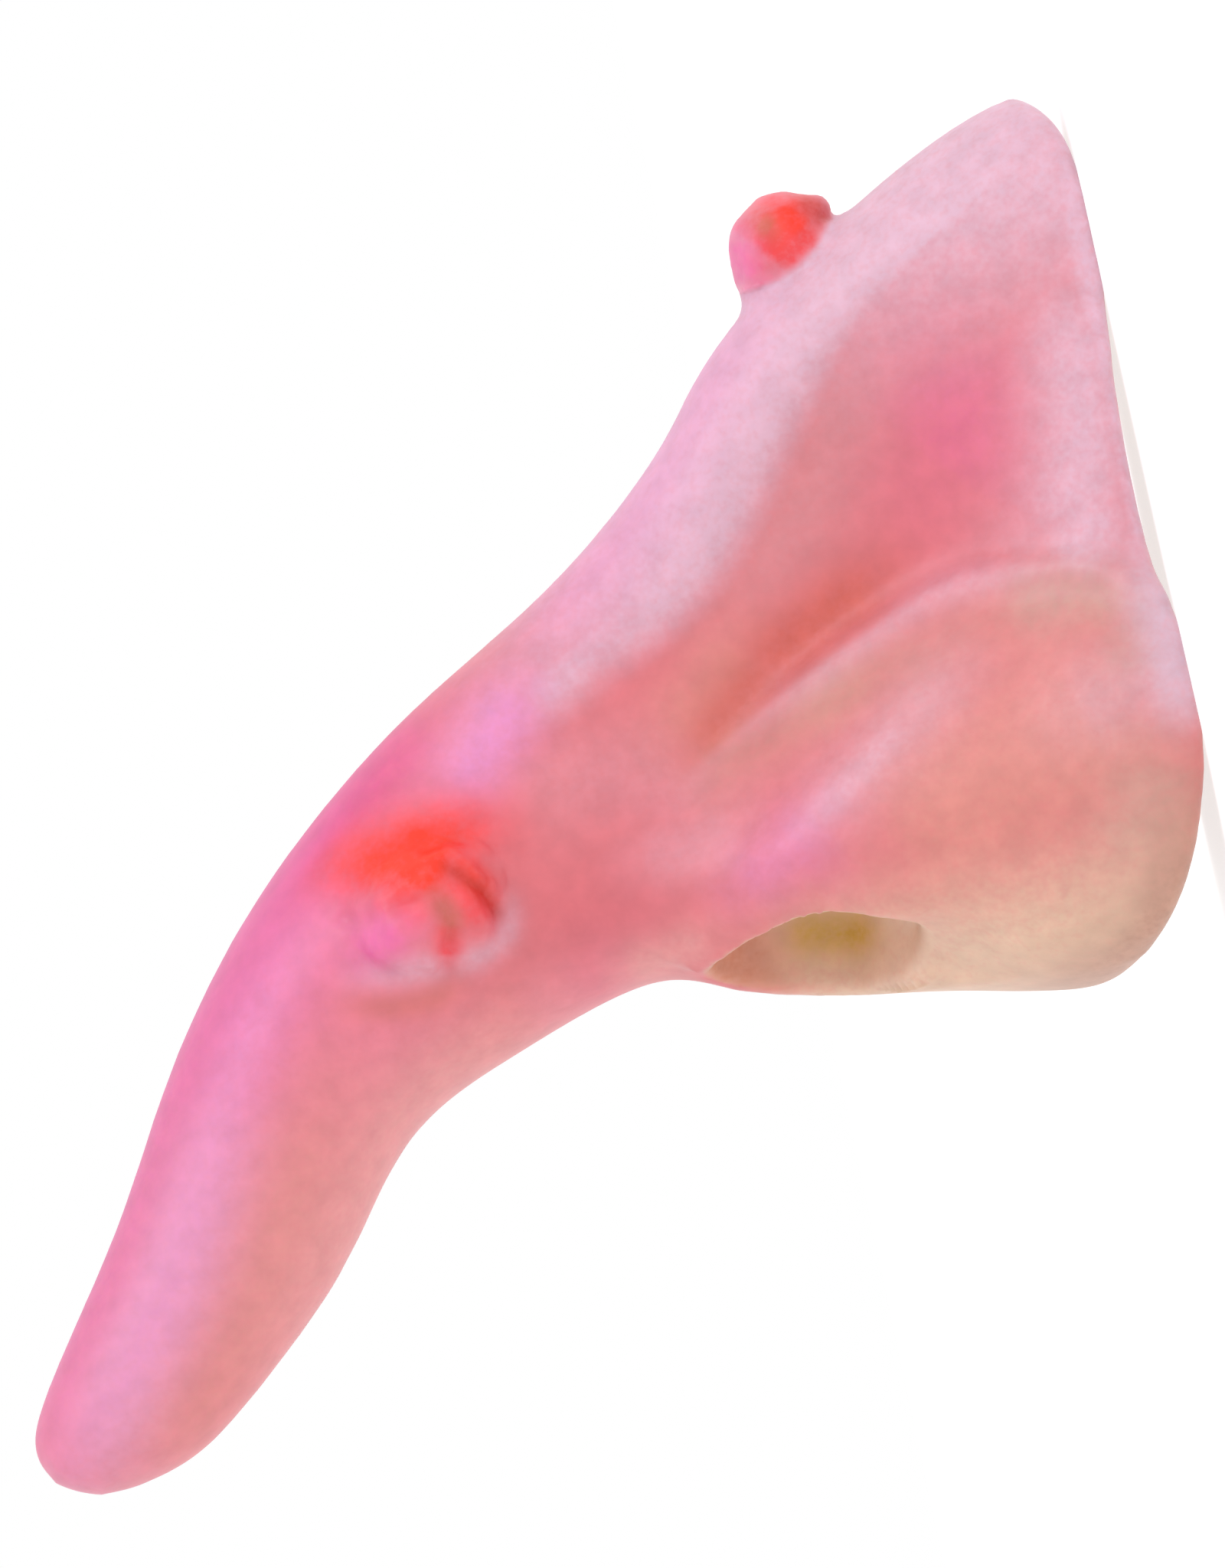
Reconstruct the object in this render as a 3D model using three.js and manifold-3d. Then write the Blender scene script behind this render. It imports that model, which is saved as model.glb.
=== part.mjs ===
// A false witch nose: one slip-cast latex moulding, hollow and open at the back, with a long hooked
// tip, two rolled wings, two nostrils and two moulded warts.
// Millimetres. +Z points out of the face, +Y up towards the brow, +X to the wearer's left.
// The rim that meets the face stands on Z = 0, and the origin is under the middle of the nose.
import * as THREE from "three";
import { mergeVertices } from "three/addons/utils/BufferGeometryUtils.js";
import Module from "manifold-3d";

const wasm = await Module();
wasm.setup();

// Wall of the moulding: full over the base, thinner towards the tip. The sections cut the ridge and
// the underside on the slant, so along a section the wall there is a little longer than its thickness.
const BASE_WALL = 2.2;
const TIP_WALL = 1.7;
const SLANT = 1.15;
// Least share of a half-width that stays hollow in the narrow end of the tip.
const LEAST_HOLLOW = 0.4;

// Shares of the way from the ridge to the underside where a section's half-widths are given.
const CREST_AT = 0.06;
const SIDE_AT = 0.3;
const WING_AT = 0.76;
const FLOOR_AT = 0.95;
const FOLD_HALF = 0.022;

// Cross-sections from behind the face to the tip. ridge and under are [Y, Z] on the middle plane.
// crest, side, groove, lip, wing and floor are half-widths; foldAt is the share where the groove over
// the wing meets the wing's rolled lip; steps is how many bands run on to the next row.
const COLUMNS = [
  "at", "ridge", "under", "crest", "side", "foldAt", "groove", "lip", "wing", "floor", "steps",
];
const SECTIONS = [
  ["behind_face", [41.4, -6.0], [-20.6, -6.0], 8.8, 13.4, 0.65, 17.6, 18.8, 20.6, 16.8, 2],
  ["rim", [39.9, 4.3], [-20.4, 4.0], 7.0, 10.8, 0.56, 14.6, 16.4, 20.0, 16.2, 6],
  ["root", [35.9, 13.7], [-20.0, 12.0], 5.7, 7.8, 0.49, 9.4, 12.0, 19.0, 15.2, 7],
  ["bridge", [28.4, 25.4], [-18.4, 20.0], 5.0, 6.5, 0.48, 7.2, 9.6, 17.2, 13.4, 6],
  ["nostril", [20.8, 32.3], [-17.2, 27.0], 4.7, 6.5, 0.51, 7.2, 8.9, 14.6, 11.3, 5],
  ["lobule", [14.2, 40.5], [-15.7, 33.0], 4.6, 6.9, 0.56, 8.2, 8.9, 11.3, 8.2, 5],
  ["neck", [6.3, 53.8], [-13.7, 39.2], 4.7, 8.4, 0.57, 9.5, 9.7, 9.5, 5.8, 4],
  ["hook", [-2.1, 64.0], [-16.4, 49.0], 4.5, 8.4, 0.57, 9.1, 9.1, 8.3, 4.4, 3],
  ["bend", [-11.2, 71.6], [-20.5, 57.5], 3.9, 7.4, 0.55, 7.9, 7.9, 7.1, 3.6, 3],
  ["shaft", [-22.4, 78.4], [-29.5, 65.0], 3.5, 6.6, 0.55, 7.1, 7.1, 6.3, 3.2, 3],
  ["tip_shoulder", [-31.8, 85.0], [-37.8, 74.8], 3.0, 5.7, 0.55, 6.1, 6.1, 5.5, 2.8, 3],
  ["tip_cap", [-36.0, 87.1], [-39.8, 80.4], 2.0, 4.0, 0.55, 4.3, 4.3, 3.9, 2.0, 2],
  ["tip_round", [-38.2, 86.3], [-40.0, 82.7], 1.2, 2.4, 0.55, 2.6, 2.6, 2.3, 1.2, 2],
  ["tip", [-39.4, 84.7], [-39.4, 84.7], 0, 0, 0.55, 0, 0, 0, 0, 0],
].map((row) => Object.fromEntries(COLUMNS.map((name, i) => [name, row[i]])));

// Points along one half of a section: ridge, crest, side, groove, lip, wing, floor, underside.
const OUTER_SAMPLES = [3, 5, 5, 3, 7, 6, 4];
const INNER_SAMPLES = [2, 2, 2, 1, 3, 3, 2];
const INNER_STEP_SHARE = 0.5;

// The face side is cut to this profile: two flat feet with a shallow arch between them, turned up at
// both ends. Each foot runs from one Y to another. The arch is drawn towards one Y and rises to its
// height there, and the turned-up ends are curves to an end point, each with a pull point.
const BROW_FOOT = { top: 33.0, bottom: 26.0 };
const WING_FOOT = { top: 3.0, bottom: -5.0 };
const FACE_ARCH = { at: 9.0, rise: 1.0 };
const FACE_BROW_END = [40.9, 6.5];
const FACE_BROW_PULL = [40.7, 0.0];
const FACE_LIP_END = [-20.8, 11.0];
const FACE_LIP_PULL = [-18.4, 2.5];
const FACE_DEPTH = 20;
const FACE_WIDTH = 60;
const FACE_MARGIN = 6;
const FACE_CURVE_STEPS = 10;
// How far the hollow runs on behind the moulding, so that the face side is open.
const PAST_RIM = 3;

// Nostrils: an egg-shaped pocket with a breathing hole through its roof, leant in the front view and
// splayed outwards at its rear end, both in degrees.
const NOSTRIL = {
  x: 9.1, y: -14.5, z: 27.3, across: 5.9, deep: 7.2, along: 9.6, lean: 25, splay: 31,
};
const NOSTRIL_WALL = 1.8;
const BREATHING_HOLE = { radius: 2.6, length: 8, sides: 14 };

// Warts: egg-shaped lumps, each a centre and three half-axes.
const WARTS = [
  { at: "bridge_wart", centre: [-0.5, 33.3, 20.4], axes: [3.5, 3.6, 3.6] },
  { at: "side_wart", centre: [8.2, -5.8, 53.2], axes: [3.9, 4.3, 5.1] },
  { at: "side_wart_lobe", centre: [9.4, -4.6, 50.6], axes: [2.7, 3.0, 2.6] },
];
// Faces round and along each egg shape.
const EGG_FACES = [16, 11];

// Where the points of a section lie along its curve, as shares of a whole turn.
function turnShares(samples) {
  const spans = [...samples, ...[...samples].reverse()];
  return spans.flatMap((count, span) =>
    Array.from({ length: count }, (_, i) => (span + i / count) / spans.length),
  );
}

// One section as a closed ring of points, from the ridge down the wearer's left side and back up.
function sectionRing(row, shares) {
  const ridge = new THREE.Vector3(0, ...row.ridge);
  const under = new THREE.Vector3(0, ...row.under);
  const left = [
    [CREST_AT, row.crest],
    [SIDE_AT, row.side],
    [row.foldAt - FOLD_HALF, row.groove],
    [row.foldAt + FOLD_HALF, row.lip],
    [WING_AT, row.wing],
    [FLOOR_AT, row.floor],
  ].map(([share, half]) => ridge.clone().lerp(under, share).setX(half));
  const right = left.map((p) => p.clone().setX(-p.x)).reverse();
  const ring = new THREE.CatmullRomCurve3([ridge, ...left, under, ...right], true, "centripetal");
  return shares.map((share) => ring.getPoint(share));
}

// A closed skin lofted through the sections, capped behind the face and drawn to a point at the tip.
function loftSkin(rows, samples, stepShare) {
  const shares = turnShares(samples);
  const rings = rows.map((row) => sectionRing(row, shares));
  const spans = rows.length - 1;
  const stations = rows.slice(0, spans).flatMap((row, span) => {
    const count = Math.max(1, Math.round(row.steps * stepShare));
    return Array.from({ length: count }, (_, i) => (span + i / count) / spans);
  });
  stations.push(1);
  const lines = shares.map(
    (_, j) => new THREE.CatmullRomCurve3(rings.map((ring) => ring[j]), false, "catmullrom"),
  );
  const points = stations.flatMap((station) => lines.map((line) => line.getPoint(station)));
  const around = shares.length;
  const triangles = [];
  for (let i = 0; i < stations.length - 1; i++) {
    for (let j = 0; j < around; j++) {
      const a = i * around + j;
      const b = i * around + ((j + 1) % around);
      triangles.push(a, a + around, b, b, a + around, b + around);
    }
  }
  const centre = points.length;
  points.push(new THREE.Vector3(0, (rows[0].ridge[0] + rows[0].under[0]) / 2, rows[0].ridge[1]));
  for (let j = 0; j < around; j++) triangles.push(j, (j + 1) % around, centre);
  return new THREE.BufferGeometry().setFromPoints(points).setIndex(triangles);
}

// The section table moved in by the wall, for the inside of the moulding.
function insideRows(rows) {
  return rows.map((row, i) => {
    const wall = THREE.MathUtils.lerp(BASE_WALL, TIP_WALL, i / (rows.length - 1));
    const ridge = new THREE.Vector2(...row.ridge);
    const under = new THREE.Vector2(...row.under);
    const chord = under.clone().sub(ridge);
    if (chord.length() === 0) {
      const before = rows[i - 1];
      const middle = new THREE.Vector2(...before.ridge).lerp(new THREE.Vector2(...before.under), 0.5);
      const end = ridge.clone().sub(middle).setLength(ridge.distanceTo(middle) - wall).add(middle);
      return { ...row, ridge: end.toArray(), under: end.toArray() };
    }
    const inset = chord.clone().setLength(wall * SLANT);
    const past = i === 0 ? PAST_RIM : 0;
    const narrow = (half) => Math.max(half - wall, half * LEAST_HOLLOW);
    return {
      ...row,
      ridge: [ridge.x + inset.x, ridge.y + inset.y - past],
      under: [under.x - inset.x, under.y - inset.y - past],
      crest: narrow(row.crest),
      side: narrow(row.side),
      groove: narrow(row.groove),
      lip: narrow((row.groove + row.lip) / 2),
      wing: narrow(row.wing),
      floor: narrow(row.floor),
    };
  });
}

// A closed skin as a solid body that can be joined and cut.
function toSolid(geometry) {
  const bare = new THREE.BufferGeometry().setAttribute("position", geometry.getAttribute("position"));
  if (geometry.index) bare.setIndex(geometry.index);
  const merged = mergeVertices(bare, 1e-4);
  const corners = merged.index.array;
  const triVerts = [];
  for (let i = 0; i < corners.length; i += 3) {
    const [a, b, c] = corners.slice(i, i + 3);
    if (a !== b && b !== c && a !== c) triVerts.push(a, b, c);
  }
  const body = new wasm.Mesh({
    numProp: 3,
    vertProperties: new Float32Array(merged.getAttribute("position").array),
    triVerts: new Uint32Array(triVerts),
  });
  return new wasm.Manifold(body);
}

// The finished body as a geometry with smooth normals.
function toGeometry(solid) {
  const { vertProperties, triVerts } = solid.getMesh();
  const geometry = new THREE.BufferGeometry();
  geometry.setAttribute("position", new THREE.BufferAttribute(new Float32Array(vertProperties), 3));
  geometry.setIndex(new THREE.BufferAttribute(new Uint32Array(triVerts), 1));
  geometry.computeVertexNormals();
  return geometry;
}

// Everything behind the rim: the face profile drawn from the side and extruded across the nose.
function faceBlock() {
  const outline = new THREE.Shape();
  const aboveBrow = FACE_BROW_END[0] + FACE_MARGIN;
  const belowLip = FACE_LIP_END[0] - FACE_MARGIN;
  outline.moveTo(aboveBrow, -FACE_DEPTH);
  outline.lineTo(aboveBrow, FACE_BROW_END[1]);
  outline.lineTo(...FACE_BROW_END);
  outline.quadraticCurveTo(...FACE_BROW_PULL, BROW_FOOT.top, 0);
  outline.lineTo(BROW_FOOT.bottom, 0);
  outline.quadraticCurveTo(FACE_ARCH.at, 2 * FACE_ARCH.rise, WING_FOOT.top, 0);
  outline.lineTo(WING_FOOT.bottom, 0);
  outline.quadraticCurveTo(...FACE_LIP_PULL, ...FACE_LIP_END);
  outline.lineTo(belowLip, FACE_LIP_END[1]);
  outline.lineTo(belowLip, -FACE_DEPTH);
  outline.closePath();
  const block = new THREE.ExtrudeGeometry(outline, {
    depth: FACE_WIDTH,
    bevelEnabled: false,
    curveSegments: FACE_CURVE_STEPS,
  });
  const sideways = new THREE.Matrix4().makeBasis(
    new THREE.Vector3(0, 1, 0),
    new THREE.Vector3(0, 0, 1),
    new THREE.Vector3(1, 0, 0),
  );
  return block.applyMatrix4(sideways).translate(-FACE_WIDTH / 2, 0, 0);
}

// An egg-shaped body, splayed in the view from below and then leant over in the front view.
function egg([x, y, z], [ax, ay, az], lean = 0, splay = 0) {
  return new THREE.SphereGeometry(1, ...EGG_FACES)
    .scale(ax, ay, az)
    .rotateY(THREE.MathUtils.degToRad(-splay))
    .rotateZ(THREE.MathUtils.degToRad(lean))
    .translate(x, y, z);
}

// The nostril pocket on one side, grown by a wall for the moulding round it.
function nostrilEgg(side, wall) {
  const { x, y, z, across, deep, along, lean, splay } = NOSTRIL;
  const axes = [across + wall, deep + wall, along + wall];
  return toSolid(egg([side * x, y, z], axes, side * lean, side * splay));
}

// The round hole through the pocket's roof into the hollow nose.
function breathingHole(side) {
  const { x, y, z, deep, lean } = NOSTRIL;
  const { radius, length, sides } = BREATHING_HOLE;
  const hole = new THREE.CylinderGeometry(radius, radius, length, sides)
    .translate(0, deep, 0)
    .rotateZ(THREE.MathUtils.degToRad(side * lean))
    .translate(side * x, y, z);
  return toSolid(hole);
}

const outside = toSolid(loftSkin(SECTIONS, OUTER_SAMPLES, 1));
const inside = toSolid(loftSkin(insideRows(SECTIONS), INNER_SAMPLES, INNER_STEP_SHARE));

let moulding = outside.subtract(inside);
for (const side of [1, -1]) {
  moulding = moulding.add(nostrilEgg(side, NOSTRIL_WALL).intersect(outside));
}
for (const side of [1, -1]) {
  moulding = moulding.subtract(nostrilEgg(side, 0)).subtract(breathingHole(side));
}
for (const wart of WARTS) {
  moulding = moulding.add(toSolid(egg(wart.centre, wart.axes)).subtract(inside));
}
moulding = moulding.subtract(toSolid(faceBlock()));

const latex = new THREE.MeshStandardMaterial({ color: "#e58ba6", roughness: 0.55, metalness: 0 });
const noseShell = new THREE.Mesh(toGeometry(moulding), latex);
noseShell.name = "nose_shell";

const witchNose = new THREE.Group();
witchNose.add(noseShell);

export default witchNose;
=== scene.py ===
# %% [markdown]
# # A witch's false nose of airbrushed latex
# The real thing is one hollow casting: liquid latex is poured into a plaster mould, left until a skin
# of about two millimetres has set, and poured out again. The warts are hollows in the mould, so they
# come out with the rest. The dry skin is trimmed at the rim and painted with an airbrush.
# The frame loaded here holds that casting at its real size. This lesson gives it its skin and paint.

# %% Load the frame
import math
from contextlib import contextmanager

import bmesh
import bpy
import numpy as np
from mathutils import Matrix, Vector, kdtree, noise
from mathutils.bvhtree import BVHTree


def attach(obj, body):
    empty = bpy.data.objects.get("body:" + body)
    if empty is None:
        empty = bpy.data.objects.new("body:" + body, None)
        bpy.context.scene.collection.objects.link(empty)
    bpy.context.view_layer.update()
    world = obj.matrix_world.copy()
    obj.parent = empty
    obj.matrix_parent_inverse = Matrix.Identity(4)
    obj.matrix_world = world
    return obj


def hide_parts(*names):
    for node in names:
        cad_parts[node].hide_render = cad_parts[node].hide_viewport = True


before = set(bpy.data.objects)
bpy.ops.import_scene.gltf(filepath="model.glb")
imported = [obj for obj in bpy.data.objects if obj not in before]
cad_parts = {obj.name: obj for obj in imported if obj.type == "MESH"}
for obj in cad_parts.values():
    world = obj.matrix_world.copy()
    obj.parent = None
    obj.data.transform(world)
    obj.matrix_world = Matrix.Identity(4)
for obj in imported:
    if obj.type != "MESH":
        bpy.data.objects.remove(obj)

MM = 0.001
scene = bpy.context.scene
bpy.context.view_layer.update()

# %% [markdown]
# ## The camera
# The picture shows the nose straight from its side, with the face plane leaning twelve degrees. The
# nose stands on its rim here, so the camera looks level at it and is rolled until the tip hangs down
# to the left. A long lens from over a metre away keeps the side view nearly flat.

# %% Place the camera
PICTURE_HIGH = 2048
PIXEL = 0.052 * MM
LENS = 400 * MM
SENSOR = 36 * MM
LEAN = math.radians(12)
AIM = Vector((0, 0.06, 39.25)) * MM

picture_right = Vector((0, -math.sin(LEAN), -math.cos(LEAN)))
picture_up = Vector((0, math.cos(LEAN), -math.sin(LEAN)))
towards_camera = picture_right.cross(picture_up)
distance = LENS * PICTURE_HIGH * PIXEL / SENSOR

camera = bpy.data.objects.new("camera", bpy.data.cameras.new("camera"))
camera.data.lens = LENS / MM
camera.data.sensor_fit = "VERTICAL"
camera.data.sensor_height = SENSOR / MM
turned = Matrix((picture_right, picture_up, towards_camera)).transposed().to_4x4()
camera.matrix_world = Matrix.Translation(AIM + towards_camera * distance) @ turned
scene.collection.objects.link(camera)
scene.camera = camera
print("camera", round(distance / MM), "mm from the nose")

# %% [markdown]
# ## Three helpers
# Colours are written as sRGB hex values, as a paint program shows them, but a shader wants them
# linear. A shader node is added together with its settings and links. A mesh is opened as a bmesh,
# the form in which Blender's operators shape it, and is written back when the shaping is done.

# %% Make the helpers
def linear(code):
    """The linear colour of an sRGB hex value such as e58ba6, with full alpha."""
    shares = [int(code[place:place + 2], 16) / 255 for place in (0, 2, 4)]
    return tuple(s / 12.92 if s <= 0.04045 else ((s + 0.055) / 1.055) ** 2.4 for s in shares) + (1.0,)


def add_node(tree, kind, inputs=None, **settings):
    """Adds a shader node with its settings. An input is a value, or a socket to link from."""
    made = tree.nodes.new("ShaderNode" + kind)
    for name, value in settings.items():
        setattr(made, name, value)
    for place, value in (inputs or {}).items():
        if isinstance(value, bpy.types.NodeSocket):
            tree.links.new(value, made.inputs[place])
        else:
            made.inputs[place].default_value = value
    return made


@contextmanager
def opened(piece):
    """A piece's mesh as a bmesh to shape. It is written back to the piece at the end."""
    shape = bmesh.new()
    shape.from_mesh(piece.data)
    yield shape
    shape.to_mesh(piece.data)
    shape.free()


WHITE = linear("ffffff")
print("white is", WHITE)

# %% [markdown]
# ## Floor and light
# The nose stands in even white light, as a small thing does in a light tent on an opal sheet that is
# lit from below. A bright world and a floor that glows a little give that, and one soft lamp from
# above the brow draws the gloss along the ridge and the tip. The plain colour transform keeps the
# paint as saturated as it is.

# %% Lay the floor
FLOOR_REACH = 3.0
FLOOR_COLOUR = "a09f9e"
FLOOR_ROUGHNESS = 0.8
FLOOR_GLOW = 0.7

# Opal acrylic: matt, milky and lit through, so that shadows on it are pale.
opal = bpy.data.materials.new("opal_acrylic")
opal.use_nodes = True
opal_shader = opal.node_tree.nodes["Principled BSDF"]
opal_shader.inputs["Base Color"].default_value = linear(FLOOR_COLOUR)
opal_shader.inputs["Roughness"].default_value = FLOOR_ROUGHNESS
opal_shader.inputs["Emission Color"].default_value = WHITE
opal_shader.inputs["Emission Strength"].default_value = FLOOR_GLOW

floor = bpy.data.objects.new("floor", bpy.data.meshes.new("floor"))
with opened(floor) as sheet:
    bmesh.ops.create_grid(sheet, x_segments=1, y_segments=1, size=FLOOR_REACH)
floor.data.materials.append(opal)
scene.collection.objects.link(floor)
print("floor", 2 * FLOOR_REACH, "m wide")

# %% [markdown]
# The world is the tent's white cloth. The lamp is a sun, which lights everything from one direction,
# and its wide angle makes its gloss and its shadows soft.

# %% Hang the light
TENT_STRENGTH = 1.0
LAMP_FROM = Vector((0.5, 0.62, 0.6))
LAMP_POWER = 0.72
LAMP_WIDTH = math.radians(25)
LAMP_COLOUR = "e9ecff"

scene.world = bpy.data.worlds.new("light_tent")
scene.world.use_nodes = True
tent = scene.world.node_tree.nodes["Background"]
tent.inputs["Color"].default_value = WHITE
tent.inputs["Strength"].default_value = TENT_STRENGTH
scene.view_settings.view_transform = "Standard"

lamp = bpy.data.objects.new("lamp", bpy.data.lights.new("lamp", "SUN"))
lamp.data.energy = LAMP_POWER
lamp.data.angle = LAMP_WIDTH
lamp.data.color = linear(LAMP_COLOUR)[:3]
lamp.rotation_euler = LAMP_FROM.to_track_quat("Z", "Y").to_euler()
scene.collection.objects.link(lamp)
print("lamp of strength", LAMP_POWER)

# %% [markdown]
# ## The skin
# The casting in the frame is made of flat facets a couple of millimetres wide. A copy of it is merged
# into one closed mesh and rebuilt by a voxel remesh, which gives small even quads all over: a skin
# that can be smoothed and pushed about like clay. The edges that are truly sharp, at the rim, the
# nostrils and the warts, are noted first, so that they can keep their form. A few places are passed
# over, because the real skin runs on softly there: behind each nostril and at some of the warts' feet.

# %% Copy the casting and rebuild its skin
MERGE_GAP = 0.001 * MM
SKIN_STEP = 0.51 * MM
SHARP_TURN = math.radians(50)
SHARP_NOTE_STEP = 0.4 * MM
# A soft place is rubbed in rings: each has its share of the reach and its smoothing passes.
NOSTRIL_RINGS = ((1.0, 3), (0.92, 6), (0.84, 14), (0.76, 40), (0.68, 160))
WART_RINGS = ((1.0, 20), (0.8, 20), (0.6, 20))
# Each soft place: its middle, its reach and its rings.
SOFT_PLACES = (
    (Vector((13.5, -15.5, 19.0)) * MM, 7.0 * MM, NOSTRIL_RINGS),
    (Vector((-13.5, -15.5, 19.0)) * MM, 7.0 * MM, NOSTRIL_RINGS),
    (Vector((9.0, -1.0, 56.0)) * MM, 4.6 * MM, WART_RINGS),
    (Vector((9.6, -2.6, 48.4)) * MM, 2.4 * MM, WART_RINGS),
    (Vector((-0.5, 30.4, 22.8)) * MM, 2.6 * MM, WART_RINGS),
)

nose = bpy.data.objects.new("painted_nose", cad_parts["nose_shell"].data.copy())
nose.data.materials.clear()
scene.collection.objects.link(nose)

sharp_places = []
with opened(nose) as clay:
    bmesh.ops.remove_doubles(clay, verts=clay.verts, dist=MERGE_GAP)
    for edge in clay.edges:
        if edge.is_manifold and edge.calc_face_angle() > SHARP_TURN:
            start, end = (corner.co for corner in edge.verts)
            steps = max(1, round(edge.calc_length() / SHARP_NOTE_STEP))
            noted = [start.lerp(end, step / steps) for step in range(steps + 1)]
            sharp_places += [
                place for place in noted
                if all((place - middle).length > reach for middle, reach, rings in SOFT_PLACES)
            ]

remesh = nose.modifiers.new("even_skin", "REMESH")
remesh.mode = "VOXEL"
remesh.voxel_size = SKIN_STEP
remesh.use_smooth_shade = True
graph = bpy.context.evaluated_depsgraph_get()
skin = bpy.data.meshes.new_from_object(nose.evaluated_get(graph))
nose.modifiers.clear()
nose.data = skin
print("skin of", len(skin.polygons), "faces,", len(sharp_places), "sharp places noted")

# %% [markdown]
# ## Tools for the clay
# Blender's sculpting brushes need a hand on the pen, so these tools do their work in code. The places
# and normals of all vertices are read as whole arrays, which numpy can push about at once. Smoothing
# is left to the bmesh operator, which knows each vertex's neighbours.

# %% Make the clay tools
HALFWAY = 0.5


def skin_arrays(piece):
    """The places, in millimetres, and the normals of a piece's vertices, as two arrays of rows."""
    count = len(piece.data.vertices)
    places = np.empty(count * 3, np.float32)
    normals = np.empty(count * 3, np.float32)
    piece.data.vertices.foreach_get("co", places)
    piece.data.vertex_normals.foreach_get("vector", normals)
    return places.reshape(-1, 3) / MM, normals.reshape(-1, 3)


def set_places(piece, places):
    """Puts a piece's vertices at new places, given in millimetres."""
    piece.data.vertices.foreach_set("co", (places * MM).astype(np.float32).ravel())
    piece.data.update()


def push(piece, amounts):
    """Moves each vertex along its normal by its amount, in millimetres."""
    places, normals = skin_arrays(piece)
    set_places(piece, places + normals * amounts[:, None])


def softened(values, piece, sweeps):
    """Values on a piece's vertices, each averaged with its neighbours' a few times over."""
    ends = np.empty(len(piece.data.edges) * 2, np.int32)
    piece.data.edges.foreach_get("vertices", ends)
    first, second = ends.reshape(-1, 2).T
    for sweep in range(sweeps):
        total = values.copy()
        share = np.ones(len(values))
        for near, far in ((first, second), (second, first)):
            total += np.bincount(near, values[far], len(values))
            share += np.bincount(near, minlength=len(values))
        values = total / share
    return values


def smooth(clay, verts, passes):
    """Moves the vertices halfway to the middle of their neighbours, pass after pass."""
    for sweep in range(passes):
        bmesh.ops.smooth_vert(
            clay, verts=verts, factor=HALFWAY, use_axis_x=True, use_axis_y=True, use_axis_z=True
        )


def rub(clay, middle, reach, rings):
    """Smooths the clay round a place, ring by ring, most in the innermost."""
    for share, passes in rings:
        chosen = [vert for vert in clay.verts if (vert.co - middle).length < reach * share]
        smooth(clay, chosen, passes)


print("tools ready for", len(nose.data.vertices), "vertices")

# %% [markdown]
# ## Smoothing
# Rubber set against plaster has no facets. Each smoothing pass moves a vertex halfway to the middle
# of its neighbours. The whole skin gets a few passes, and all but the places near sharp edges get
# many more, so the broad forms become round while the rim, nostrils and warts stay crisp. Smoothing
# also makes round things thinner, so what each place lost is averaged and given back afterwards. The
# soft places are then smoothed once more, most in their middle, until they run out into the skin.

# %% Smooth the facets away
SHORT_PASSES = 10
LONG_PASSES = 25
SHARP_REACH = 1.6 * MM
GIVE_BACK_SWEEPS = 30

sharp_tree = kdtree.KDTree(len(sharp_places))
for number, place in enumerate(sharp_places):
    sharp_tree.insert(place, number)
sharp_tree.balance()

faceted = skin_arrays(nose)[0]
with opened(nose) as clay:
    smooth(clay, clay.verts, SHORT_PASSES)
    broad = [vert for vert in clay.verts if sharp_tree.find(vert.co)[2] > SHARP_REACH]
    smooth(clay, broad, LONG_PASSES)
smoothed, normals = skin_arrays(nose)
lost = softened(np.einsum("ij,ij->i", faceted - smoothed, normals), nose, GIVE_BACK_SWEEPS)
push(nose, lost)

with opened(nose) as clay:
    for middle, reach, rings in SOFT_PLACES:
        rub(clay, middle, reach, rings)
print(len(faceted), "vertices smoothed; up to", round(float(lost.max()), 2), "mm given back")

# %% [markdown]
# ## Finer clay on the warts
# The warts carry smaller detail than the rest of the nose, so their faces are cut in four.

# %% Cut the faces of the warts finer
WARTS = {
    "bridge": {"middle": (-0.5, 33.3, 20.4), "axes": (3.5, 3.6, 3.6)},
    "side": {"middle": (8.2, -5.8, 53.2), "axes": (3.9, 4.3, 5.1)},
    "lobe": {"middle": (9.4, -4.6, 50.6), "axes": (2.7, 3.0, 2.6)},
}
FINE_GROW = 1.25


def wart_reach(points, names=tuple(WARTS)):
    """How far each point is from the middle of the nearest wart, where 1 is the wart's surface."""
    warts = [WARTS[name] for name in names]
    return np.min([np.linalg.norm((points - w["middle"]) / w["axes"], axis=1) for w in warts], axis=0)


with opened(nose) as clay:
    centres = np.array([face.calc_center_median() for face in clay.faces]) / MM
    close = wart_reach(centres) < FINE_GROW
    fine_edges = {edge for face, chosen in zip(clay.faces, close) if chosen for edge in face.edges}
    in_order = sorted(fine_edges, key=lambda edge: edge.index)
    bmesh.ops.subdivide_edges(clay, edges=in_order, cuts=1, use_grid_fill=True)
print(int(close.sum()), "faces cut; now", len(nose.data.polygons))

# %% [markdown]
# ## Outside and inside
# Only the outside was painted, so each vertex has to know which side of the rubber it is on. A ray
# sent out along a vertex's normal settles that: from the outside it leaves for the open air, while
# from the inside it meets the opposite wall. Close to the rim such a ray may slip out of the mouth,
# so there the normal is compared with the way out from the middle of the hollow instead.

# %% Tell the outside from the inside
NEAR_WALL = 3.0
FAR_WALL = 60.0
MOUTH_DEPTH = 14.0
MOUTH_MIDDLE = np.array((0.0, 8.0))
FACING_IN = -2.0
RAY_START = 0.05
SOFTENING = 3

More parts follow.
